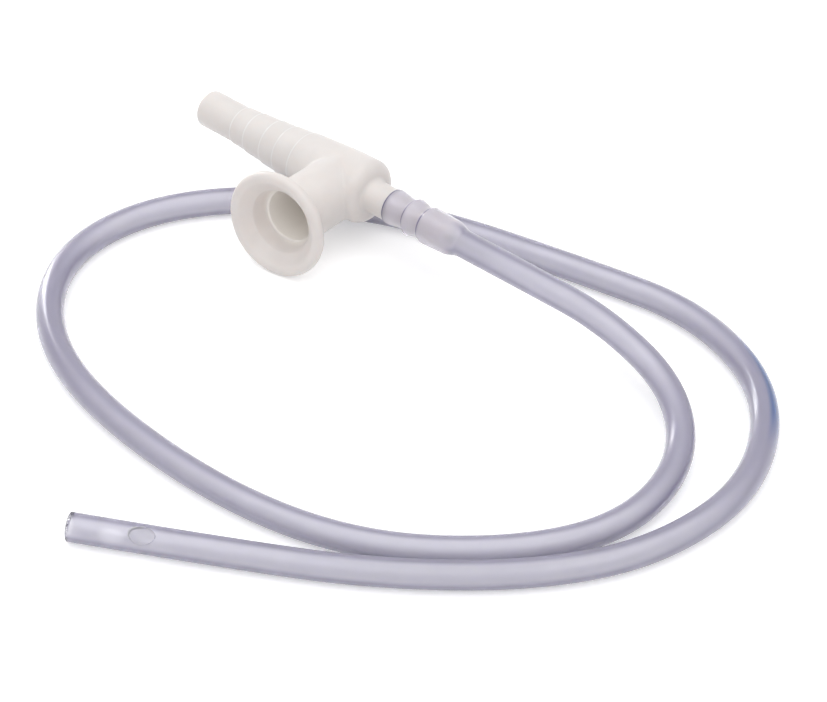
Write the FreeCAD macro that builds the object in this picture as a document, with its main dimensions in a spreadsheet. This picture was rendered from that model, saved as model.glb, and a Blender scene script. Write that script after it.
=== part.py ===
import FreeCAD, Part
import math
import os

import Sketcher

# Suction catheter: a soft hollow tube with an open tip and two side eyes, pushed over the
# barbed nipple of a moulded valve. The valve has a stepped suction nozzle at its other end
# and a bell-mouthed thumb port on its side.
# The frame: +Z up, the table at z = 0, +X from the nozzle towards the tube, the thumb port
# towards -Y, and the origin below the middle of the valve's footprint. Millimetres.

SIZES = [
    # the tube
    ("tube_od", 4.67),
    ("tube_wall", 0.7),
    ("sleeve_wall", 0.62),
    ("eye_long", 4.2),
    ("eye_wide", 2.8),
    ("eye_one_from_tip", 6.4),
    ("eye_two_from_tip", 12.1),
    ("eye_tilt", 55.0),
    ("tip_slant", 10.0),
    # where the port's axis meets the main axis, seen from above
    ("junction_x", 4.75),
    ("junction_y", 6.6),
    # the valve resting over the tube
    ("strand_gap", 0.2),
    ("strand_before_port", 5.85),
    # the nozzle, its five steps and the barrel, measured from the port's axis
    ("nozzle_reach", 33.55),
    ("nozzle_od", 6.7),
    ("nozzle_bore", 4.5),
    ("nozzle_bore_end", 24.0),
    ("nozzle_round", 0.55),
    ("step_rise", 0.14),
    ("step_one_at", 24.97),
    ("step_one_od", 7.0),
    ("step_two_at", 21.46),
    ("step_two_od", 7.6),
    ("step_three_at", 17.12),
    ("step_three_od", 8.4),
    ("step_four_at", 13.61),
    ("step_four_od", 9.0),
    ("step_five_at", 9.49),
    ("step_five_od", 10.0),
    ("barrel_od", 11.4),
    ("shoulder_past_port", 0.95),
    ("shoulder_swell", 0.3),
    ("shoulder_round", 2.1),
    ("chamber_bore", 8.6),
    ("chamber_start", 7.0),
    ("chamber_end", 3.2),
    ("chamber_cone", 0.8),
    # the thumb port, and the dished bell that stands a little askew at its end
    ("port_ease", 0.4),
    ("port_od", 11.3),
    ("port_bore", 8.2),
    ("port_blend", 0.8),
    ("throat_bore", 9.4),
    ("bell_at", 16.55),
    ("bell_yaw", 8.8),
    ("bell_pitch", 7.7),
    ("bell_od", 19.06),
    ("rim_thickness", 2.0),
    ("rim_shelf", 0.7),
    ("dish_depth", 1.96),
    ("dish_run", 2.08),
    ("cup_depth", 2.4),
    ("cup_foot_od", 9.4),
    ("back_width", 1.3),
    ("hub_length", 3.0),
    ("hub_od", 10.2),
    # the collar behind the shoulder, the barbed nipple and the tube's end on it
    ("collar_end", 11.25),
    ("collar_od", 5.8),
    ("neck_length", 0.8),
    ("neck_od", 5.0),
    ("neck_fall", 2.8),
    ("waist_one_length", 0.7),
    ("waist_one_od", 4.1),
    ("barb_one_rise", 0.3),
    ("barb_one_od", 5.56),
    ("barb_one_fall", 2.4),
    ("waist_two_length", 0.8),
    ("waist_two_od", 4.42),
    ("barb_two_rise", 0.4),
    ("barb_two_od", 5.36),
    ("barb_two_fall", 4.6),
    ("nipple_end_od", 4.92),
    ("nipple_bore", 2.7),
    ("nipple_fit", 0.02),
    ("sleeve_overhang", 0.8),
    ("sleeve_fall", 2.15),
]
SIZE = dict(SIZES)

# the nipple's outline from the collar on: each stretch's length and the diameter at its end
NIPPLE = [
    ("neck_length", "neck_od"), ("neck_fall", "waist_one_od"), ("waist_one_length", "waist_one_od"),
    ("barb_one_rise", "barb_one_od"), ("barb_one_fall", "waist_two_od"),
    ("waist_two_length", "waist_two_od"), ("barb_two_rise", "barb_two_od"),
    ("barb_two_fall", "nipple_end_od"),
]
NIPPLE_END = " + ".join("Sizes." + name for name in ["collar_end"] + [run for run, od in NIPPLE])
SLEEVE_END = NIPPLE_END + " + Sizes.sleeve_overhang + Sizes.sleeve_fall"
PORT_FOOT = "(Sizes.barrel_od - Sizes.port_ease) / 2"
SHOULDER = "(Sizes.barrel_od + Sizes.shoulder_swell) / 2"
SHOULDER_AT = PORT_FOOT + " + Sizes.shoulder_past_port"
RIM_HALF = "Sizes.rim_thickness / 2"
ROUND_SHARE = 0.475
RIM_ROUND = "Sizes.rim_thickness * %s" % ROUND_SHARE

# the tube's route from the end of its sleeve to its tip: each point is a corner that an arc
# rounds off, first level with the nipple, then falling with a height each, then on the table
LEVEL = (45.5, 6.6)
FALL = [(61.1, 8.9, 7.9), (78.5, 6.0, 4.7), (90.6, -6.0, 2.9)]
FLOOR = [
    (93.4, -23.8), (84.5, -40.4), (66.3, -55.2), (41.1, -60.6), (8.7, -58.2), (-12.1, -48.5),
    (-23.6, -31.5), (-21.1, -11.5), (-5.2, 5.7), (15.2, 16.2), (44.9, 22.8), (66.9, 26.6),
    (88.7, 18.0), (101.5, -2.0), (100.9, -23.9), (91.0, -41.4), (72.9, -57.8), (51.4, -70.6),
    (31.4, -81.6),
]
ARC_SHARE = 0.45

doc = FreeCAD.newDocument("suction_catheter")


def make_sheet():
    """Put every driving dimension in the sheet, one aliased cell each."""
    sheet = doc.addObject("Spreadsheet::Sheet", "Sizes")
    for row, (alias, value) in enumerate(SIZES, start=1):
        sheet.set("A%d" % row, alias)
        sheet.set("B%d" % row, str(value))
        sheet.setAlias("B%d" % row, alias)
    doc.recompute()
    return sheet


def origin_plane(body, role):
    """Give the body's own origin plane with this role."""
    for feature in body.Origin.OriginFeatures:
        if feature.Role == role:
            return feature
    raise ValueError("no plane " + role)


def profile(body, name, corners):
    """Draw a closed outline on the body's XY plane, each corner bound to two expressions."""
    sketch = body.newObject("Sketcher::SketchObject", name)
    sketch.AttachmentSupport = (origin_plane(body, "XY_Plane"), "")
    sketch.MapMode = "FlatFace"
    count = len(corners)
    for index in range(count):
        here = FreeCAD.Vector(index, index * index, 0)
        there = FreeCAD.Vector(index + 1, (index + 1) ** 2, 0)
        sketch.addGeometry(Part.LineSegment(here, there), False)
    for index in range(count):
        sketch.addConstraint(Sketcher.Constraint("Coincident", index, 2, (index + 1) % count, 1))
    for index, (along, across) in enumerate(corners):
        for kind, formula in (("DistanceX", along), ("DistanceY", across)):
            number = sketch.addConstraint(Sketcher.Constraint(kind, -1, 1, index, 1, 1.0))
            sketch.setExpression("Constraints[%d]" % number, formula)
    doc.recompute()
    return sketch


def bell_turn():
    """Give the rotation that sets the bell askew on its port."""
    yaw = FreeCAD.Rotation(FreeCAD.Vector(0, 0, 1), SIZE["bell_yaw"])
    return yaw.multiply(FreeCAD.Rotation(FreeCAD.Vector(1, 0, 0), -SIZE["bell_pitch"]))


def set_askew(sketch):
    """Move a sketch to the bell's middle and turn it with the bell."""
    sketch.AttachmentOffset = FreeCAD.Placement(FreeCAD.Vector(0, -SIZE["bell_at"], 0), bell_turn())
    sketch.setExpression("AttachmentOffset.Base.y", "-Sizes.bell_at")
    doc.recompute()
    return sketch


def turn(body, kind, name, sketch, axis):
    """Turn a sketch through a full circle, adding or removing material."""
    feature = body.newObject(kind, name)
    feature.Profile = sketch
    feature.ReferenceAxis = (sketch, [axis])
    feature.Angle = 360
    body.Tip = feature
    doc.recompute()
    return feature


def ring_edges(shape, middle, radius):
    """Name the full circles with one middle and one radius."""
    names = []
    for number, edge in enumerate(shape.Edges, start=1):
        curve = edge.Curve
        if not isinstance(curve, Part.Circle):
            continue
        if (curve.Center - middle).Length < 1e-3 and abs(curve.Radius - radius) < 1e-3:
            names.append("Edge%d" % number)
    if not names:
        raise ValueError("no ring of radius %.3f" % radius)
    return names


def crossing_edges(shape, reach):
    """Name the edges where the port leaves the barrel: neither straight nor round."""
    names = []
    for number, edge in enumerate(shape.Edges, start=1):
        if isinstance(edge.Curve, (Part.Circle, Part.Line)):
            continue
        box = edge.BoundBox
        if box.YMin > -reach and box.YMax < reach and box.DiagonalLength > 1.0:
            names.append("Edge%d" % number)
    return names


def round_edges(body, name, edges, radius):
    """Round named edges of the body's last feature by a formula."""
    before = body.Tip
    feature = body.newObject("PartDesign::Fillet", name)
    feature.Base = (before, edges)
    feature.setExpression("Radius", radius)
    body.Tip = feature
    doc.recompute()
    return feature


def nipple_outline(extra):
    """List the nipple's barbed outline from its neck to its end, grown by a formula."""
    at = "Sizes.collar_end"
    corners = []
    for run, od in NIPPLE:
        at += " + Sizes." + run
        corners.append((at, "Sizes.%s / 2%s" % (od, extra)))
    return corners


def valve_body():
    """Mould the valve: stepped nozzle, barrel, nipple and bell-mouthed thumb port in one."""
    body = doc.addObject("PartDesign::Body", "ValveBody")
    body.Label = "valve_body"

    outline = [("-Sizes.nozzle_reach", "0"), ("-Sizes.nozzle_reach", "Sizes.nozzle_od / 2"),
               ("-Sizes.step_one_at", "Sizes.nozzle_od / 2")]
    steps = ["step_one", "step_two", "step_three", "step_four", "step_five"]
    for here, following in zip(steps, steps[1:]):
        outline.append(("-Sizes.%s_at" % here, "Sizes.%s_od / 2" % here))
        outline.append(("-Sizes.%s_at" % following, "Sizes.%s_od / 2 - Sizes.step_rise" % following))
    outline += [("-Sizes.step_five_at", "Sizes.step_five_od / 2"), ("0", "Sizes.barrel_od / 2"),
                (SHOULDER_AT, SHOULDER),
                (SHOULDER_AT, "Sizes.collar_od / 2"),
                ("Sizes.collar_end", "Sizes.collar_od / 2"), ("Sizes.collar_end", "Sizes.neck_od / 2")]
    outline += nipple_outline("")
    outline.append((NIPPLE_END, "0"))
    turn(body, "PartDesign::Revolution", "Barrel", profile(body, "BarrelOutline", outline), "H_Axis")

    tip = FreeCAD.Vector(-SIZE["nozzle_reach"], 0, 0)
    round_edges(body, "NozzleRound", ring_edges(body.Shape, tip, SIZE["nozzle_od"] / 2), "Sizes.nozzle_round")
    foot = (SIZE["barrel_od"] - SIZE["port_ease"]) / 2
    shoulder = FreeCAD.Vector(foot + SIZE["shoulder_past_port"], 0, 0)
    crown = (SIZE["barrel_od"] + SIZE["shoulder_swell"]) / 2
    round_edges(body, "ShoulderRound", ring_edges(body.Shape, shoulder, crown), "Sizes.shoulder_round")
    round_edges(body, "CollarBlend", ring_edges(body.Shape, shoulder, SIZE["collar_od"] / 2),
                "(%s - Sizes.shoulder_round - Sizes.collar_od / 2) * 0.85" % SHOULDER)

    bell_back = RIM_HALF + " + Sizes.hub_length"
    port_end = "-(Sizes.bell_at - %s)" % RIM_HALF
    port = [("0", "0"), (PORT_FOOT, "0"), ("Sizes.port_od / 2", port_end), ("0", port_end)]
    turn(body, "PartDesign::Revolution", "Port", profile(body, "PortOutline", port), "V_Axis")
    reach = SIZE["barrel_od"] / 2 + 0.5
    round_edges(body, "PortBlend", crossing_edges(body.Shape, reach), "Sizes.port_blend")

    bell = [("0", bell_back), ("Sizes.hub_od / 2", bell_back), ("Sizes.bell_od / 2 - Sizes.back_width", RIM_HALF),
            ("Sizes.bell_od / 2", RIM_HALF), ("Sizes.bell_od / 2", "-" + RIM_HALF), ("0", "-" + RIM_HALF)]
    turn(body, "PartDesign::Revolution", "Bell", set_askew(profile(body, "BellOutline", bell)), "V_Axis")

    chamber = [("-Sizes.nozzle_reach - 1", "0"), ("-Sizes.nozzle_reach - 1", "Sizes.nozzle_bore / 2"),
               ("-Sizes.nozzle_bore_end", "Sizes.nozzle_bore / 2"),
               ("-Sizes.chamber_start", "Sizes.chamber_bore / 2"),
               ("Sizes.chamber_end", "Sizes.chamber_bore / 2"),
               ("Sizes.chamber_end + Sizes.chamber_cone", "Sizes.nipple_bore / 2"),
               (NIPPLE_END + " + 1", "Sizes.nipple_bore / 2"), (NIPPLE_END + " + 1", "0")]
    turn(body, "PartDesign::Groove", "Bore", profile(body, "BoreOutline", chamber), "H_Axis")

    throat = [("0", "0"), ("Sizes.port_bore / 2", "0"), ("Sizes.throat_bore / 2", port_end), ("0", port_end)]
    turn(body, "PartDesign::Groove", "Throat", profile(body, "ThroatOutline", throat), "V_Axis")

    dish_foot = "Sizes.dish_depth - " + RIM_HALF
    cup_foot = dish_foot + " + Sizes.cup_depth"
    dish_mouth = "Sizes.bell_od / 2 - %s - Sizes.rim_shelf" % RIM_ROUND
    dish = [("0", cup_foot), ("Sizes.cup_foot_od / 2", cup_foot), (dish_mouth + " - Sizes.dish_run", dish_foot),
            (dish_mouth, "-" + RIM_HALF), (dish_mouth, "-Sizes.rim_thickness"), ("0", "-Sizes.rim_thickness")]
    turn(body, "PartDesign::Groove", "Dish", set_askew(profile(body, "DishOutline", dish)), "V_Axis")

    outer = SIZE["bell_od"] / 2
    mouth = outer - SIZE["rim_thickness"] * ROUND_SHARE - SIZE["rim_shelf"]
    for name, ahead, radius, size in (("RimFront", 0.5, outer, RIM_ROUND), ("RimBack", -0.5, outer, RIM_ROUND),
                                      ("RimInside", 0.5, mouth, "Sizes.rim_shelf * 1.6")):
        forward = bell_turn().multVec(FreeCAD.Vector(0, -SIZE["rim_thickness"] * ahead, 0))
        middle = FreeCAD.Vector(0, -SIZE["bell_at"], 0) + forward
        round_edges(body, name, ring_edges(body.Shape, middle, radius), size)
    return body


# the barrel lies over the far strand of the tube, so its radius there sets the axis height
SADDLE = "(Sizes.step_five_od + (Sizes.barrel_od - Sizes.step_five_od)" \
         " * (Sizes.step_five_at - Sizes.strand_before_port) / Sizes.step_five_at) / 2"
AXIS_HEIGHT = "Sizes.tube_od + Sizes.strand_gap + " + SADDLE


def axis_height():
    """Work out the height of the valve's main axis above the table."""
    share = (SIZE["step_five_at"] - SIZE["strand_before_port"]) / SIZE["step_five_at"]
    saddle_od = SIZE["step_five_od"] + (SIZE["barrel_od"] - SIZE["step_five_od"]) * share
    return SIZE["tube_od"] + SIZE["strand_gap"] + saddle_od / 2


def lean_angle():
    """Work out how far the valve rolls until the bell's rim touches the table."""
    corner = SIZE["rim_thickness"] * ROUND_SHARE
    ring = SIZE["bell_od"] / 2 - corner
    flat = SIZE["rim_thickness"] / 2 - corner
    forward = bell_turn().multVec(FreeCAD.Vector(0, -1, 0))
    lean = 0.0
    for turn_number in range(20):
        rise = forward.y * math.sin(lean) + forward.z * math.cos(lean)
        low = ring * math.sqrt(1 - rise * rise) + flat * abs(rise) + corner
        lean = math.asin((axis_height() - low) / SIZE["bell_at"])
    return math.degrees(lean)


def seat_on_axis(item):
    """Set a piece that is drawn about the main axis at its place over the table."""
    item.Placement = FreeCAD.Placement(
        FreeCAD.Vector(SIZE["junction_x"], SIZE["junction_y"], axis_height()), FreeCAD.Rotation())
    item.setExpression("Placement.Base.x", "Sizes.junction_x")
    item.setExpression("Placement.Base.y", "Sizes.junction_y")
    item.setExpression("Placement.Base.z", AXIS_HEIGHT)


def route_points():
    """List the corners of the tube's route, from the end of its sleeve to its tip."""
    height = axis_height()
    floor = SIZE["tube_od"] / 2
    along = SIZE["collar_end"] + sum(SIZE[run] for run, od in NIPPLE)
    along += SIZE["sleeve_overhang"] + SIZE["sleeve_fall"]
    start = FreeCAD.Vector(SIZE["junction_x"] + along, SIZE["junction_y"], height)
    corners = [start, FreeCAD.Vector(LEVEL[0], LEVEL[1], height)]
    corners += [FreeCAD.Vector(x, y, z) for x, y, z in FALL]
    corners += [FreeCAD.Vector(x, y, floor) for x, y in FLOOR]
    return corners


def rounded_path(corners):
    """Join straight runs with tangent arcs, as large as each pair of runs allows."""
    edges = []
    radii = []
    here = corners[0]
    for before, corner, after in zip(corners, corners[1:], corners[2:]):
        back = before - corner
        ahead = after - corner
        shorter = min(back.Length, ahead.Length)
        angle = math.pi - back.getAngle(ahead)
        reach = ARC_SHARE * shorter
        radius = reach / math.tan(angle / 2)
        back.normalize()
        ahead.normalize()
        first = corner + back * reach
        last = corner + ahead * reach
        inward = back + ahead
        inward.normalize()
        middle = corner + inward * (radius / math.cos(angle / 2) - radius)
        edges.append(Part.LineSegment(here, first).toShape())
        edges.append(Part.Arc(first, middle, last).toShape())
        radii.append(radius)
        here = last
    edges.append(Part.LineSegment(here, corners[-1]).toShape())
    return Part.Wire(edges), radii


def along_route(name, spine, diameter):
    """Sweep a circle of one diameter along the route as a solid."""
    circle = doc.addObject("Part::Circle", name + "Circle")
    circle.setExpression("Radius", diameter + " / 2")
    start = spine.Shape.Vertexes[0].Point
    circle.Placement = FreeCAD.Placement(start, FreeCAD.Rotation(FreeCAD.Vector(0, 0, 1),
                                                                FreeCAD.Vector(1, 0, 0)))
    sweep = doc.addObject("Part::Sweep", name)
    sweep.Sections = [circle]
    sweep.Spine = (spine, ["Edge%d" % (index + 1) for index in range(len(spine.Shape.Edges))])
    sweep.Solid = True
    sweep.Frenet = False
    doc.recompute()
    return sweep


def sleeve(name, outline):
    """Turn one skin of the tube's widened end about the main axis."""
    body = doc.addObject("PartDesign::Body", name)
    turn(body, "PartDesign::Revolution", name + "Turned", profile(body, name + "Outline", outline), "H_Axis")
    seat_on_axis(body)
    doc.recompute()
    return body


def catheter_tube():
    """Draw the tube: its end stretched over the barbs, its long route, tip and side eyes."""
    corners = route_points()
    path, radii = rounded_path(corners)
    spine = doc.addObject("Part::Feature", "Route")
    spine.Shape = path

    grown = " + Sizes.nipple_fit"
    bore = "Sizes.tube_od - 2 * Sizes.tube_wall"
    start = "(Sizes.collar_end + Sizes.nipple_fit)"
    inside = [(start + " - 1", "0"), (start + " - 1", "Sizes.neck_od / 2" + grown)]
    inside += nipple_outline(grown)
    inside += [(NIPPLE_END + grown, "Sizes.nipple_end_od / 2" + grown), (SLEEVE_END, "(%s) / 2" % bore),
               (SLEEVE_END, "0")]
    outside = [(start, "0"), (start, "Sizes.neck_od / 2 + Sizes.sleeve_wall")]
    outside += nipple_outline(" + Sizes.sleeve_wall")[1:-1]
    outside += [(NIPPLE_END + " + Sizes.sleeve_overhang", "Sizes.nipple_end_od / 2 + Sizes.sleeve_wall"),
                (SLEEVE_END, "Sizes.tube_od / 2"), (SLEEVE_END, "0")]

    skin = doc.addObject("Part::MultiFuse", "TubeSkin")
    skin.Shapes = [sleeve("SleeveSkin", outside), along_route("SkinSweep", spine, "Sizes.tube_od")]
    lumen = doc.addObject("Part::MultiFuse", "TubeLumen")
    lumen.Shapes = [sleeve("SleeveLumen", inside), along_route("LumenSweep", spine, "(%s)" % bore)]
    hollow = doc.addObject("Part::Cut", "HollowTube")
    hollow.Base = skin
    hollow.Tool = lumen
    doc.recompute()

    ahead = (corners[-1] - corners[-2]).normalize()
    tools = doc.addObject("Part::MultiFuse", "TipCutters")
    tools.Shapes = [
        eye_cutter("EyeOne", corners[-1], ahead, "eye_one_from_tip", SIZE["eye_tilt"] - 180),
        eye_cutter("EyeTwo", corners[-1], ahead, "eye_two_from_tip", SIZE["eye_tilt"]),
        slant_cutter(corners[-1], ahead),
    ]
    tube = doc.addObject("Part::Cut", "CatheterTube")
    tube.Label = "catheter_tube"
    tube.Base = hollow
    tube.Tool = tools
    doc.recompute()
    return tube, path, radii


def eye_cutter(name, tip, ahead, from_tip, tilt):
    """Make the oval prism that opens one side eye, leaning by tilt degrees off the table."""
    oval = doc.addObject("Part::Ellipse", name + "Oval")
    oval.setExpression("MajorRadius", "Sizes.eye_long / 2")
    oval.setExpression("MinorRadius", "Sizes.eye_wide / 2")
    level = FreeCAD.Vector(-ahead.y, ahead.x, 0)
    lean = math.radians(tilt)
    outward = level * math.cos(lean) + FreeCAD.Vector(0, 0, 1) * math.sin(lean)
    place = tip - ahead * SIZE[from_tip]
    across = outward.cross(ahead)
    oval.Placement = FreeCAD.Placement(FreeCAD.Matrix(
        ahead.x, across.x, outward.x, place.x, ahead.y, across.y, outward.y, place.y,
        ahead.z, across.z, outward.z, place.z, 0, 0, 0, 1))
    prism = doc.addObject("Part::Extrusion", name)
    prism.Base = oval
    prism.DirMode = "Custom"
    prism.Dir = outward
    prism.setExpression("LengthFwd", "Sizes.tube_od")
    prism.Solid = True
    return prism


def slant_cutter(tip, ahead):
    """Make the block that cuts the tip slightly off square, its lower edge the furthest."""
    width = 4 * SIZE["tube_od"]
    block = doc.addObject("Part::Box", "TipBlock")
    for side in ("Length", "Width", "Height"):
        block.setExpression(side, "4 * Sizes.tube_od")
    heading = math.degrees(math.atan2(ahead.y, ahead.x))
    turned = FreeCAD.Rotation(FreeCAD.Vector(0, 0, 1), heading).multiply(
        FreeCAD.Rotation(FreeCAD.Vector(0, 1, 0), -SIZE["tip_slant"]))
    back = SIZE["tube_od"] / 2 * math.tan(math.radians(SIZE["tip_slant"]))
    corner = tip - ahead * back - turned.multVec(FreeCAD.Vector(0, width / 2, width / 2))
    block.Placement = FreeCAD.Placement(corner, turned)
    return block


def check(node):
    """Stop if a piece is empty, broken or in more than one part."""
    shape = node.Shape
    if shape.isNull() or not shape.isValid() or len(shape.Solids) != 1:
        raise RuntimeError("%s is not one valid solid" % node.Label)


make_sheet()
valve = valve_body()
seat_on_axis(valve)
valve.Placement.Rotation = FreeCAD.Rotation(FreeCAD.Vector(1, 0, 0), lean_angle())
tube, path, radii = catheter_tube()
doc.recompute()

for item in doc.Objects:
    if "Invalid" in item.State or "Error" in item.State:
        raise RuntimeError("%s failed: %s" % (item.Name, item.State))
for node in (valve, tube):
    check(node)

bore_radius = SIZE["tube_od"] / 2 - SIZE["tube_wall"]
section = math.pi * ((SIZE["tube_od"] / 2) ** 2 - bore_radius ** 2)
print("axis height %.3f, lean %.3f degrees" % (axis_height(), lean_angle()))
print("route length %.1f, section times length %.1f" % (path.Length, section * path.Length))
print("tube volume %.1f, valve volume %.1f" % (tube.Shape.Volume, valve.Shape.Volume))
print("bend radii: " + ", ".join("%.1f" % radius for radius in radii))
print("valve box", valve.Shape.BoundBox)
print("tube box", tube.Shape.BoundBox)

os.makedirs("parts", exist_ok=True)
for node in (valve, tube):
    node.Shape.exportStep("parts/%s.step" % node.Label)
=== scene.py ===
import bisect
import math

import bmesh
import bpy
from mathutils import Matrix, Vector


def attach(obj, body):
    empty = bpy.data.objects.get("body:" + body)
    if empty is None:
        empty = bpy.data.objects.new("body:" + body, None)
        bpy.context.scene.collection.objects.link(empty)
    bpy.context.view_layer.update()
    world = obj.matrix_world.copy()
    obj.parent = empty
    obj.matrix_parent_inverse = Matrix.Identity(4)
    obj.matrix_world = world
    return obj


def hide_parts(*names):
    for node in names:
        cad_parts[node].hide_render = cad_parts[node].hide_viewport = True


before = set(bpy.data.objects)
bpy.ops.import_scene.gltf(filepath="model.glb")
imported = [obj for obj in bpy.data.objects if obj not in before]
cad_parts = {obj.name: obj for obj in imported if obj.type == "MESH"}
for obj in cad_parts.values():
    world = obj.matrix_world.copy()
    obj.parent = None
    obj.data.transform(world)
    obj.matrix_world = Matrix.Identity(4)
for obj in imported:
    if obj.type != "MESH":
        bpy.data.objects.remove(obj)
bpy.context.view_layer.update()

MM = 0.001

# where the port's axis meets the valve's main axis, in millimetres, and how far the port leans
JUNCTION = Vector((4.75, 6.6, 10.138))
PORT_LEAN = 2.227
# the port's inner wall, drawn paler as painted light shining through the plastic: the radius and the depth at
# which that begins and is full
PORT_WALL_RADII = (5.4, 4.8)
PORT_WALL_DEPTHS = (1.0, 4.0)
# how far before the port's axis each of the nozzle's steps ends, and the width of the painted highlight along
# its edge
STEPS = [24.97, 21.46, 17.12, 13.61, 9.49]
STEP_HIGHLIGHT_WIDTH = 0.26
EDGE_ROUND = 0.3

# the tube, in millimetres
TUBE_RADIUS = 2.335
BORE_RADIUS = 1.635
SLEEVE_WALL = 0.62
NIPPLE_FIT = 0.02
# the nipple under the tube's end: distance from the port's axis, and radius
NIPPLE = [
    (11.25, 2.5), (12.05, 2.5), (14.85, 2.05), (15.55, 2.05), (15.85, 2.78), (18.25, 2.21),
    (19.05, 2.21), (19.45, 2.68), (24.05, 2.46),
]
SLEEVE_START = 11.27
SLEEVE_BODY_END = 24.85
SLEEVE_END = 27.0
ROUTE = [
    (31.75, 6.6, 10.138), (45.5, 6.6, 10.138), (61.1, 8.9, 7.9), (78.5, 6.0, 4.7), (90.6, -6.0, 2.9),
] + [(x, y, TUBE_RADIUS) for x, y in [
    (93.4, -23.8), (84.5, -40.4), (66.3, -55.2), (41.1, -60.6), (8.7, -58.2), (-12.1, -48.5),
    (-23.6, -31.5), (-21.1, -11.5), (-5.2, 5.7), (15.2, 16.2), (44.9, 22.8), (66.9, 26.6),
    (88.7, 18.0), (101.5, -2.0), (100.9, -23.9), (91.0, -41.4), (72.9, -57.8), (51.4, -70.6),
    (31.4, -81.6),
]]
TIP_SLANT = 10.0
# each side eye: its middle's distance from the tip, its length and width, and its tilt off the
# table as seen from behind the tip
EYES = [(6.4, 4.2, 2.8, -125.0), (12.1, 4.2, 2.8, 55.0)]
# the prism that opens an eye: each level's distance from the centreline and its share of the eye
EYE_LEVELS = [(0.6, 0.92), (1.7, 0.96), (2.15, 1.0), (3.2, 1.14)]
EYE_CORNERS = 40

# the tube's mesh: corners round it, and the spacing of its rings on the sleeve, the run and the tip
SEGMENTS = 48
SLEEVE_SPACING = 0.15
RUN_SPACING = 0.8
TIP_SPACING = 0.4
TIP_STRETCH = 20

# the tube's map holds the turn round the tube, and the distance along it in this many millimetres
MAP_UNIT = 100
# where the inner skin and the cut faces lie in the tube's map, beside the outer skin at 0 to 1
INSIDE_MAP = 2.0
CUT_MAP = 4.5
# the blue field: its middle and half length along the tube, and its middle and half width round
# the tube in turns from the outer side of the bend, each with the width of its soft edge
BLUE_AT = 379.0
BLUE_HALF_LENGTH = 17.0
BLUE_SOFT_LENGTH = 12.0
BLUE_TURN = 0.068
BLUE_HALF_TURN = 0.16
BLUE_SOFT_TURN = 0.07
# painted shade along thin fold lines in the stretched wall: distance from the tube's near edge and half width
FOLD_SHADES = [(0.1, 0.36), (4.45, 0.36), (8.0, 0.36)]
# the stretched wall, paler than the tube: its middle, half length and soft edge
STRETCHED = (6.5, 9.5, 3.0)

# colours
IVORY = ((0.785, 0.74, 0.715, 1.0), (0.81, 0.765, 0.74, 1.0))
# painted light: the port's bore wall, drawn paler as if lit through the plastic
IVORY_PAINTED_GLOW = (0.985, 0.94, 0.885, 1.0)
# painted highlight along each of the nozzle's step edges
IVORY_PAINTED_HIGHLIGHT = (0.92, 0.905, 0.89, 1.0)
LAVENDER = ((0.755, 0.74, 0.835, 1.0), (0.79, 0.775, 0.865, 1.0))
# painted shade at the tube's edges as the camera sees them
LAVENDER_PAINTED_EDGE_SHADE = (0.40, 0.38, 0.51, 1.0)
LAVENDER_INSIDE = (0.92, 0.91, 0.965, 1.0)
LAVENDER_STRETCHED = (0.90, 0.86, 0.94, 1.0)
# painted shade along each fold line of the stretched wall
LAVENDER_PAINTED_FOLD_SHADE = (0.20, 0.17, 0.38, 1.0)
LAVENDER_CUT = (0.97, 0.965, 0.985, 1.0)
BLUE = (0.03, 0.11, 0.38, 1.0)
FLOOR = (0.93, 0.93, 0.93, 1.0)
SOFT_WHITE = (0.985, 0.99, 1.0, 1.0)
WHITE = (1.0, 1.0, 1.0, 1.0)

# the camera: the point on the table that it faces, its direction and distance from there, and lens
CAMERA_TARGET = Vector((37.16, -10.95, 0.0))
CAMERA_AZIMUTH = 43.2
CAMERA_ELEVATION = 37.0
CAMERA_DISTANCE = 540.1
CAMERA_LENS = 142.99

# the studio, in metres: each soft light's name, place, size and power, and what they all face
LAMPS = [
    ("Overhead", (0.14, -0.14, 0.88), (1.3, 1.3), 6.1),
    ("Left", (-0.86, 0.19, 0.24), (0.14, 0.6), 2.0),
]
LAMP_TARGET = (0.03, -0.02, 0.0)
WORLD_LIGHT = 0.55
FLOOR_HALF = 3.0
FLOOR_DROP = 0.00002
FLOOR_WHITENING = 0.37


def add_camera():
    """Stand the camera where the photograph was taken from."""
    azimuth, elevation = math.radians(CAMERA_AZIMUTH), math.radians(CAMERA_ELEVATION)
    away = Vector((math.sin(azimuth) * math.cos(elevation),
                   -math.cos(azimuth) * math.cos(elevation), math.sin(elevation)))
    data = bpy.data.cameras.new("Camera")
    data.sensor_width = 36.0
    data.lens = CAMERA_LENS
    data.clip_start = 0.01
    camera = bpy.data.objects.new("Camera", data)
    camera.location = (CAMERA_TARGET + away * CAMERA_DISTANCE) * MM
    camera.rotation_euler = (-away).to_track_quat("-Z", "Y").to_euler()
    bpy.context.collection.objects.link(camera)
    bpy.context.scene.camera = camera


def add_softbox(name, place, size, power):
    """Hang a rectangular soft light at one place, facing the object."""
    data = bpy.data.lights.new(name, "AREA")
    data.shape = "RECTANGLE"
    data.size, data.size_y = size
    data.energy = power
    lamp = bpy.data.objects.new(name, data)
    lamp.location = place
    lamp.rotation_euler = (Vector(LAMP_TARGET) - Vector(place)).to_track_quat("-Z", "Y").to_euler()
    bpy.context.collection.objects.link(lamp)


def any_of(tree, masks):
    """Give the largest of several mask sockets."""
    total = masks[0]
    for mask in masks[1:]:
        most = tree.nodes.new("ShaderNodeMath")
        most.operation = "MAXIMUM"
        tree.links.new(total, most.inputs[0])
        tree.links.new(mask, most.inputs[1])
        total = most.outputs[0]
    return total


def seen_directly(tree):
    """Give a socket that is 1 for what the camera sees, also mirrored or through clear plastic."""
    path = tree.nodes.new("ShaderNodeLightPath")
    rays = ("Is Camera Ray", "Is Glossy Ray", "Is Transmission Ray")
    return any_of(tree, [path.outputs[ray] for ray in rays])


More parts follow.
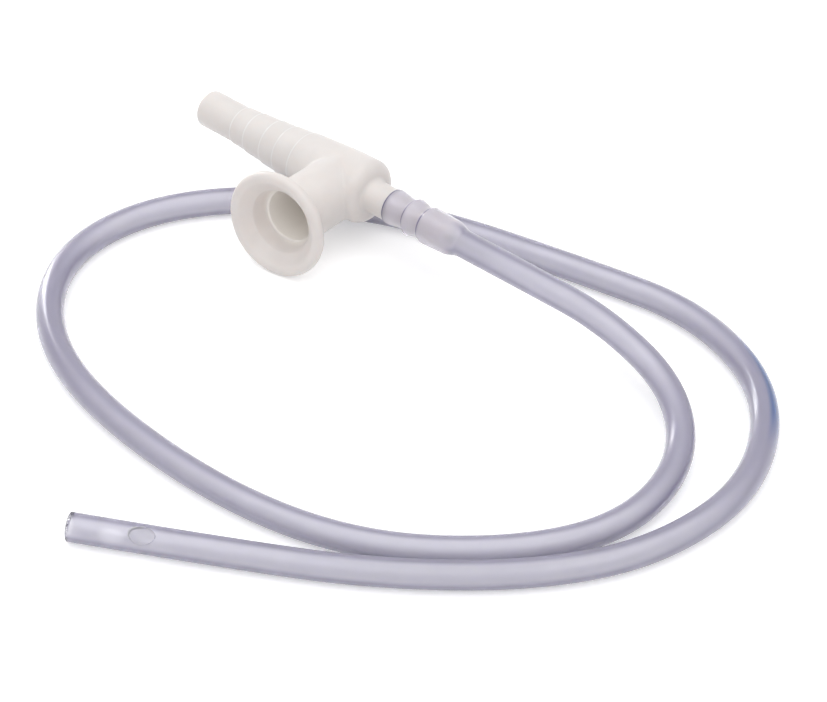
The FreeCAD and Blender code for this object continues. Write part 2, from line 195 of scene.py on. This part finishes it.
def light_world():
    """Light the scene from all round, with a white backdrop."""
    world = bpy.data.worlds.new("Studio")
    bpy.context.scene.world = world
    world.use_nodes = True
    tree = world.node_tree
    tree.nodes.clear()
    output = tree.nodes.new("ShaderNodeOutputWorld")
    mix = tree.nodes.new("ShaderNodeMixShader")
    tree.links.new(seen_directly(tree), mix.inputs[0])
    for number, (colour, strength) in enumerate(((SOFT_WHITE, WORLD_LIGHT), (WHITE, 1.0)), 1):
        light = tree.nodes.new("ShaderNodeBackground")
        light.inputs["Color"].default_value = colour
        light.inputs["Strength"].default_value = strength
        tree.links.new(light.outputs[0], mix.inputs[number])
    tree.links.new(mix.outputs[0], output.inputs["Surface"])


def floor_material():
    """White that only a close shadow darkens."""
    material = bpy.data.materials.new("floor_white")
    material.use_nodes = True
    tree = material.node_tree
    tree.nodes.clear()
    output = tree.nodes.new("ShaderNodeOutputMaterial")
    diffuse = tree.nodes.new("ShaderNodeBsdfDiffuse")
    diffuse.inputs["Color"].default_value = FLOOR
    white = tree.nodes.new("ShaderNodeEmission")
    strength = tree.nodes.new("ShaderNodeMath")
    strength.operation = "MULTIPLY"
    strength.inputs[1].default_value = FLOOR_WHITENING
    both = tree.nodes.new("ShaderNodeAddShader")
    tree.links.new(seen_directly(tree), strength.inputs[0])
    tree.links.new(strength.outputs[0], white.inputs["Strength"])
    tree.links.new(diffuse.outputs[0], both.inputs[0])
    tree.links.new(white.outputs[0], both.inputs[1])
    tree.links.new(both.outputs[0], output.inputs["Surface"])
    return material


def add_floor():
    """Lay the table that the object lies on."""
    mesh = bpy.data.meshes.new("Floor")
    half = FLOOR_HALF
    corners = [(-half, -half, 0), (half, -half, 0), (half, half, 0), (-half, half, 0)]
    mesh.from_pydata(corners, [], [(0, 1, 2, 3)])
    mesh.materials.append(floor_material())
    floor = bpy.data.objects.new("Floor", mesh)
    floor.location.z = -FLOOR_DROP
    bpy.context.collection.objects.link(floor)


def principled(name, settings):
    """Make a material with one Principled shader and constant settings."""
    material = bpy.data.materials.new(name)
    material.use_nodes = True
    shader = material.node_tree.nodes["Principled BSDF"]
    for socket, value in settings.items():
        shader.inputs[socket].default_value = value
    return material, material.node_tree, shader


def noise_over(tree, scale, detail):
    """Give a noise socket that stays with the object."""
    place = tree.nodes.new("ShaderNodeTexCoord")
    noise = tree.nodes.new("ShaderNodeTexNoise")
    noise.inputs["Scale"].default_value = scale
    noise.inputs["Detail"].default_value = detail
    tree.links.new(place.outputs["Object"], noise.inputs["Vector"])
    return noise.outputs["Fac"]


def mottled(tree, scale, detail, colours):
    """Give a colour socket that drifts between two colours with a soft noise."""
    ramp = tree.nodes.new("ShaderNodeValToRGB")
    for element, position, colour in zip(ramp.color_ramp.elements, (0.35, 0.65), colours):
        element.position = position
        element.color = colour
    tree.links.new(noise_over(tree, scale, detail), ramp.inputs["Fac"])
    return ramp.outputs["Color"]


def soft_bump(tree, shader, scale, distance):
    """Put a faint moulded unevenness on the shader's normal."""
    bump = tree.nodes.new("ShaderNodeBump")
    bump.inputs["Strength"].default_value = 0.04
    bump.inputs["Distance"].default_value = distance
    tree.links.new(noise_over(tree, scale, 3.0), bump.inputs["Height"])
    tree.links.new(bump.outputs["Normal"], shader.inputs["Normal"])
    return bump


def rising(tree, value, start, end):
    """Give a mask socket that goes smoothly from 0 to 1 while a value goes from start to end."""
    rise = tree.nodes.new("ShaderNodeMapRange")
    rise.interpolation_type = "SMOOTHSTEP"
    rise.inputs["From Min"].default_value = start
    rise.inputs["From Max"].default_value = end
    tree.links.new(value, rise.inputs["Value"])
    return rise.outputs["Result"]


def near_middle(tree, value, middle, half, soft):
    """Give a socket that is 1 near a middle value and falls softly to 0 at its half width."""
    offset = tree.nodes.new("ShaderNodeMath")
    offset.operation = "SUBTRACT"
    offset.inputs[1].default_value = middle
    distance = tree.nodes.new("ShaderNodeMath")
    distance.operation = "ABSOLUTE"
    tree.links.new(value, offset.inputs[0])
    tree.links.new(offset.outputs[0], distance.inputs[0])
    return rising(tree, distance.outputs[0], half, half - soft)


def both_of(tree, first, second):
    """Give the product of two mask sockets."""
    both = tree.nodes.new("ShaderNodeMath")
    both.operation = "MULTIPLY"
    tree.links.new(first, both.inputs[0])
    tree.links.new(second, both.inputs[1])
    return both.outputs[0]


def tinted(tree, colour, mask, tint):
    """Give a colour socket with a tint laid over another colour by a mask."""
    blend = tree.nodes.new("ShaderNodeMix")
    blend.data_type = "RGBA"
    blend.inputs["B"].default_value = tint
    tree.links.new(mask, blend.inputs["Factor"])
    tree.links.new(colour, blend.inputs["A"])
    return blend.outputs["Result"]


def from_junction(tree, valve, direction):
    """Give sockets for the distance along a line from the valve's junction, and for that from the line."""
    back = valve.matrix_world.inverted()
    axis = (back.to_3x3() @ Vector(direction)).normalized()
    place = tree.nodes.new("ShaderNodeTexCoord")
    offset = tree.nodes.new("ShaderNodeVectorMath")
    offset.operation = "SUBTRACT"
    offset.inputs[1].default_value = back @ (JUNCTION * MM)
    tree.links.new(place.outputs["Object"], offset.inputs[0])
    parts = []
    for operation in ("DOT_PRODUCT", "CROSS_PRODUCT"):
        part = tree.nodes.new("ShaderNodeVectorMath")
        part.operation = operation
        part.inputs[1].default_value = axis
        tree.links.new(offset.outputs["Vector"], part.inputs[0])
        parts.append(part)
    along, across = parts
    radius = tree.nodes.new("ShaderNodeVectorMath")
    radius.operation = "LENGTH"
    tree.links.new(across.outputs["Vector"], radius.inputs[0])
    return along.outputs["Value"], radius.outputs["Value"]


def port_bore_painted_glow(tree, valve):
    """Give a mask socket that is 1 on the wall of the thumb port's bore, deep in the bell, where a paler
    colour is painted as light shining through the plastic.
    """
    lean = math.radians(PORT_LEAN)
    along, radius = from_junction(tree, valve, (0, -math.cos(lean), -math.sin(lean)))
    near = rising(tree, radius, PORT_WALL_RADII[0] * MM, PORT_WALL_RADII[1] * MM)
    deep = rising(tree, along, PORT_WALL_DEPTHS[0] * MM, PORT_WALL_DEPTHS[1] * MM)
    return both_of(tree, near, deep)


def step_painted_highlights(tree, valve):
    """Give a mask socket for the painted highlight along the edge of each of the nozzle's five steps."""
    along = from_junction(tree, valve, (-1, 0, 0))[0]
    return any_of(tree, [near_middle(tree, along, at * MM, STEP_HIGHLIGHT_WIDTH * MM, STEP_HIGHLIGHT_WIDTH * MM) for at in STEPS])


def valve_material(valve):
    """Ivory moulded plastic that lets a little light through, its edges softly rounded, with a paler colour
    painted on the port's bore wall as light through the plastic and painted highlights along the nozzle's
    step edges.
    """
    material, tree, shader = principled("valve_ivory", {
        "Roughness": 0.32,
        "IOR": 1.46,
        "Subsurface Radius": (1.0, 0.84, 0.74),
        "Subsurface Scale": 0.0016,
    })
    painted_bore_glow = port_bore_painted_glow(tree, valve)
    depth = tree.nodes.new("ShaderNodeMapRange")
    depth.inputs["To Min"].default_value = 0.5
    depth.inputs["To Max"].default_value = 0.0
    tree.links.new(painted_bore_glow, depth.inputs["Value"])
    tree.links.new(depth.outputs["Result"], shader.inputs["Subsurface Weight"])
    colour = mottled(tree, 300.0, 3.0, IVORY)
    # painted light: the bore wall drawn paler as if lit through the plastic
    colour = tinted(tree, colour, painted_bore_glow, IVORY_PAINTED_GLOW)
    # painted highlight along each step's edge
    colour = tinted(tree, colour, step_painted_highlights(tree, valve), IVORY_PAINTED_HIGHLIGHT)
    tree.links.new(colour, shader.inputs["Base Color"])
    bump = soft_bump(tree, shader, 900.0, 0.00005)
    soft_edge = tree.nodes.new("ShaderNodeBevel")
    soft_edge.samples = 6
    soft_edge.inputs["Radius"].default_value = EDGE_ROUND * MM
    tree.links.new(soft_edge.outputs["Normal"], bump.inputs["Normal"])
    return material


def along_tube(tree):
    """Give the sockets that hold the turn round the tube and the distance along it."""
    place = tree.nodes.new("ShaderNodeUVMap")
    place.uv_map = "TubeMap"
    split = tree.nodes.new("ShaderNodeSeparateXYZ")
    tree.links.new(place.outputs["UV"], split.inputs[0])
    return split.outputs["X"], split.outputs["Y"]


def band(tree, distance, middle, half, soft):
    """Give a mask socket for a stretch of the tube, in millimetres along it."""
    return near_middle(tree, distance, middle / MAP_UNIT, half / MAP_UNIT, soft / MAP_UNIT)


def painted_edge_shade(tree):
    """Give a mask socket for the tube's edges as the camera sees them, for painted shade there that stands
    for light crossing the most plastic.
    """
    facing = tree.nodes.new("ShaderNodeLayerWeight")
    facing.inputs["Blend"].default_value = 0.5
    return rising(tree, facing.outputs["Facing"], 0.13, 0.42)


def tube_material():
    """Soft translucent lavender tube with one plain blue field, painted shade at its edges as the camera sees
    them and painted shade along each fold of its stretched wall.
    """
    material, tree, shader = principled("tube_lavender", {
        "Roughness": 0.2,
        "IOR": 1.5,
        "Transmission Weight": 0.62,
        "Coat Weight": 0.6,
        "Coat Roughness": 0.33,
        "Coat IOR": 1.5,
        "Subsurface Weight": 0.3,
        "Subsurface Radius": (0.8, 0.8, 1.0),
        "Subsurface Scale": 0.0012,
    })
    turn, distance = along_tube(tree)
    inner_skin = near_middle(tree, turn, INSIDE_MAP + 0.5, 0.6, 0.05)
    cut_faces = near_middle(tree, turn, CUT_MAP, 0.5, 0.1)
    # painted shade along each fold line of the stretched wall
    fold_shades = any_of(tree, [band(tree, distance, at, half, half) for at, half in FOLD_SHADES])
    blue_turn = near_middle(tree, turn, 0.5 + BLUE_TURN, BLUE_HALF_TURN, BLUE_SOFT_TURN)
    blue_length = band(tree, distance, BLUE_AT, BLUE_HALF_LENGTH, BLUE_SOFT_LENGTH)
    colour = mottled(tree, 160.0, 2.0, LAVENDER)
    for mask, tint in (
        # painted shade at the tube's edges as the camera sees them
        (painted_edge_shade(tree), LAVENDER_PAINTED_EDGE_SHADE),
        (inner_skin, LAVENDER_INSIDE),
        (band(tree, distance, *STRETCHED), LAVENDER_STRETCHED),
        # painted shade along each fold line
        (fold_shades, LAVENDER_PAINTED_FOLD_SHADE),
        (cut_faces, LAVENDER_CUT),
        (both_of(tree, blue_length, blue_turn), BLUE),
    ):
        colour = tinted(tree, colour, mask, tint)
    tree.links.new(colour, shader.inputs["Base Color"])
    soft_bump(tree, shader, 350.0, 0.0001)
    return material


def route_line():
    """Read the smooth centreline, in millimetres, from a spline through the route's corners."""
    start = JUNCTION + Vector((SLEEVE_START, 0, 0))
    corners = [tuple(start)] + ROUTE
    curve = bpy.data.curves.new("Route", "CURVE")
    curve.dimensions = "3D"
    spline = curve.splines.new("NURBS")
    spline.points.add(len(corners) - 1)
    for point, corner in zip(spline.points, corners):
        point.co = (*corner, 1.0)
    spline.order_u = 3
    spline.use_endpoint_u = True
    spline.resolution_u = 24
    holder = bpy.data.objects.new("Route", curve)
    mesh = bpy.data.meshes.new_from_object(holder)
    line = [vertex.co.copy() for vertex in mesh.vertices]
    bpy.data.objects.remove(holder)
    bpy.data.meshes.remove(mesh)
    return line


class Line:
    """A centreline that gives its point and direction at any distance along it."""

    def __init__(self, points):
        self.points = points
        self.at = [0.0]
        for before, after in zip(points, points[1:]):
            self.at.append(self.at[-1] + (after - before).length)
        self.length = self.at[-1]

    def point(self, along):
        """Point of the line at one distance, kept between its two ends."""
        along = min(max(along, 0.0), self.length)
        index = min(max(bisect.bisect_right(self.at, along) - 1, 0), len(self.at) - 2)
        share = (along - self.at[index]) / (self.at[index + 1] - self.at[index])
        return self.points[index].lerp(self.points[index + 1], share)

    def axes(self, along):
        """Direction, level side and upward side of the line at one distance."""
        reach = 0.6
        ahead = (self.point(along + reach) - self.point(along - reach)).normalized()
        side = Vector((0, 0, 1)).cross(ahead).normalized()
        return ahead, side, ahead.cross(side)


def between(stations, at):
    """Read a radius from a list of stations, in straight stretches."""
    if at <= stations[0][0]:
        return stations[0][1]
    for (left, low), (right, high) in zip(stations, stations[1:]):
        if at <= right:
            return low + (high - low) * (at - left) / (right - left)
    return stations[-1][1]


def inside_radius(at):
    """Give the tube's inner radius at a distance from the port's axis."""
    stations = [(place, radius + NIPPLE_FIT) for place, radius in NIPPLE]
    stations += [(NIPPLE[-1][0] + NIPPLE_FIT, NIPPLE[-1][1] + NIPPLE_FIT), (SLEEVE_END, BORE_RADIUS)]
    return between(stations, at)


def outside_radius(at):
    """Give the tube's outer radius there: the barbs' outline, softened by the stretched wall."""
    stations = [(place, radius + SLEEVE_WALL) for place, radius in NIPPLE]
    stations += [(SLEEVE_BODY_END, NIPPLE[-1][1] + SLEEVE_WALL), (SLEEVE_END, TUBE_RADIUS)]
    reach, count = 0.4, 9
    spread = [between(stations, at + reach * (2 * step / (count - 1) - 1)) for step in range(count)]
    radius = sum(spread) / count
    rim = 0.15
    into_rim = (SLEEVE_START + rim - at) / rim
    if into_rim > 0:
        radius -= rim * (1 - math.sqrt(max(0.0, 1 - into_rim ** 2)))
    return radius


def ring_places(length):
    """List the distances along the tube that get a ring of vertices: close on the sleeve and tip."""
    places = [0.0, 0.03, 0.08, 0.15]
    while places[-1] < length:
        at = places[-1]
        if at < SLEEVE_END - SLEEVE_START + 1:
            places.append(at + SLEEVE_SPACING)
        else:
            places.append(at + (RUN_SPACING if at < length - TIP_STRETCH else TIP_SPACING))
    return places[:-1] + [length]


def add_skin(bm, uv, line, places, radius_at, flip):
    """Add one skin of the tube, ring after ring, and return its rings of vertices."""
    made = []
    for at in places:
        centre = line.point(at)
        ahead, side, up = line.axes(at)
        ring = []
        for number in range(SEGMENTS):
            angle = 2 * math.pi * (number / SEGMENTS - 0.5)
            out = side * math.cos(angle) + up * math.sin(angle)
            ring.append(bm.verts.new((centre + out * radius_at(at + SLEEVE_START)) * MM))
        made.append(ring)
    for index in range(len(places) - 1):
        first, second = made[index], made[index + 1]
        for number in range(SEGMENTS):
            after = (number + 1) % SEGMENTS
            corners = [(first[number], number, index), (first[after], number + 1, index),
                       (second[after], number + 1, index + 1), (second[number], number, index + 1)]
            if flip:
                corners.reverse()
            face = bm.faces.new([vertex for vertex, turn, row in corners])
            for loop, (vertex, turn, row) in zip(face.loops, corners):
                loop[uv].uv = (turn / SEGMENTS + (INSIDE_MAP if flip else 0.0), places[row] / MAP_UNIT)
    return made


def mark_cut(face, uv):
    """Put one face on the cut faces' place in the tube's map."""
    for loop in face.loops:
        loop[uv].uv = (CUT_MAP, 1.0)


def bridge(bm, uv, outer, inner, flip):
    """Close one end of the tube's wall between its two skins."""
    for number in range(SEGMENTS):
        after = (number + 1) % SEGMENTS
        corners = [outer[number], outer[after], inner[after], inner[number]]
        mark_cut(bm.faces.new(corners if flip else corners[::-1]), uv)


def mesh_object(name, bm):
    """Turn a bmesh into an object."""
    mesh = bpy.data.meshes.new(name)
    bm.to_mesh(mesh)
    bm.free()
    made = bpy.data.objects.new(name, mesh)
    bpy.context.collection.objects.link(made)
    return made


def cut(target, tool):
    """Cut one mesh out of another and keep the result as the target's mesh."""
    modifier = target.modifiers.new("Cut", "BOOLEAN")
    modifier.operation = "DIFFERENCE"
    modifier.solver = "EXACT"
    modifier.object = tool
    depsgraph = bpy.context.evaluated_depsgraph_get()
    result = bpy.data.meshes.new_from_object(target.evaluated_get(depsgraph))
    target.modifiers.clear()
    target.data = result
    bpy.data.objects.remove(tool)


def eye_tool(line, from_tip, long, wide, tilt):
    """Make the oval prism that opens one side eye, a little wider at the skin."""
    at = line.length - from_tip
    ahead, side, up = line.axes(at)
    lean = math.radians(tilt)
    outward = side * math.cos(lean) + up * math.sin(lean)
    across = outward.cross(ahead)
    centre = line.point(at)
    bm = bmesh.new()
    uv = bm.loops.layers.uv.new("TubeMap")
    levels = []
    for lift, grow in EYE_LEVELS:
        ring = []
        for number in range(EYE_CORNERS):
            angle = 2 * math.pi * number / EYE_CORNERS
            spot = centre + outward * lift
            spot += ahead * (math.cos(angle) * long / 2 * grow) + across * (math.sin(angle) * wide / 2 * grow)
            ring.append(bm.verts.new(spot * MM))
        levels.append(ring)
    for first, second in zip(levels, levels[1:]):
        for number in range(EYE_CORNERS):
            after = (number + 1) % EYE_CORNERS
            bm.faces.new((first[number], first[after], second[after], second[number]))
    bm.faces.new(levels[0][::-1])
    bm.faces.new(levels[-1])
    bmesh.ops.recalc_face_normals(bm, faces=bm.faces)
    for face in bm.faces:
        mark_cut(face, uv)
    return mesh_object("Eye", bm)


def slant_tip(line, rings):
    """Lean the last rings so that the tip's lower edge reaches the furthest."""
    ahead, side, up = line.axes(line.length)
    middle = line.point(line.length)
    lean = math.tan(math.radians(TIP_SLANT))
    for ring in rings:
        for vertex in ring:
            height = (vertex.co / MM - middle).dot(up)
            vertex.co -= ahead * ((height + TUBE_RADIUS) * lean * MM)


def build_tube():
    """Build the whole tube: sleeve, route, slanted tip and side eyes, hollow throughout."""
    line = Line(route_line())
    places = ring_places(line.length)
    bm = bmesh.new()
    uv = bm.loops.layers.uv.new("TubeMap")
    outer = add_skin(bm, uv, line, places, outside_radius, False)
    inner = add_skin(bm, uv, line, places, inside_radius, True)
    bridge(bm, uv, outer[0], inner[0], True)
    bridge(bm, uv, outer[-1], inner[-1], False)
    slant_tip(line, [outer[-1], inner[-1]])
    bmesh.ops.recalc_face_normals(bm, faces=bm.faces)
    tube = mesh_object("Catheter_Tube", bm)
    tube.data.materials.append(tube_material())
    for eye in EYES:
        cut(tube, eye_tool(line, *eye))
    for face in tube.data.polygons:
        face.use_smooth = True
    return tube, line


light_world()
add_floor()
add_camera()
for lamp in LAMPS:
    add_softbox(*lamp)

tube, line = build_tube()
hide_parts("catheter_tube")
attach(tube, "root")

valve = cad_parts["valve_body"]
ivory = valve_material(valve)
for slot in valve.material_slots:
    slot.material = ivory

bpy.context.scene.view_settings.view_transform = "Standard"
